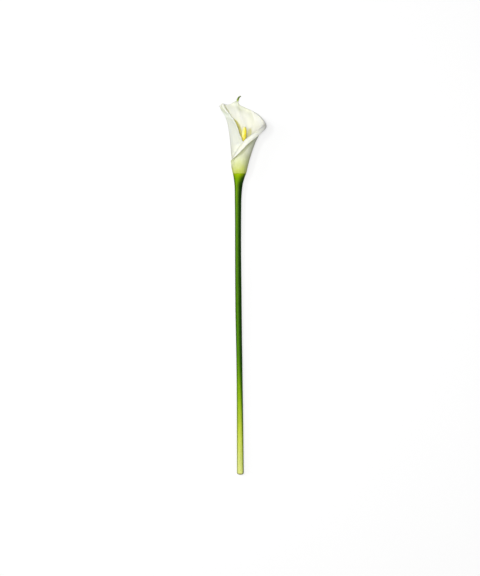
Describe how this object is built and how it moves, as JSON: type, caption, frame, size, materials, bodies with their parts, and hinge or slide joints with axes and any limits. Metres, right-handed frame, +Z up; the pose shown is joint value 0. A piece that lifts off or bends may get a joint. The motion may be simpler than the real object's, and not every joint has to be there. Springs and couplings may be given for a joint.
{
  "type": "calla lily flower",
  "caption": "Single cut calla lily: one white leaf rolled into a flaring cone with a curled rim and hooked tip, round a yellow finger-shaped spadix, on a long smooth green stem.",
  "frame": {"origin": "on the resting surface, under the middle of the whole flower's bounding box", "axes": "+Y along the stem towards the flower's tip, +Z up from the surface that the flower lies on, +X to the right when the open side of the flower is seen from above with its tip away from the viewer"},
  "size_m": [0.076, 0.6085, 0.0585],
  "materials": {
    "stem": "smooth fleshy green plant stem, soft gloss, paler towards the cut end",
    "spathe": "waxy white petal-like leaf, slightly translucent, yellow-green at its base and tip",
    "spadix": "matt yellow, covered in tiny florets"
  },
  "bodies": {
    "root": {"stem": "stem", "spathe": "spathe", "spadix": "spadix"}
  },
  "joints": []
}
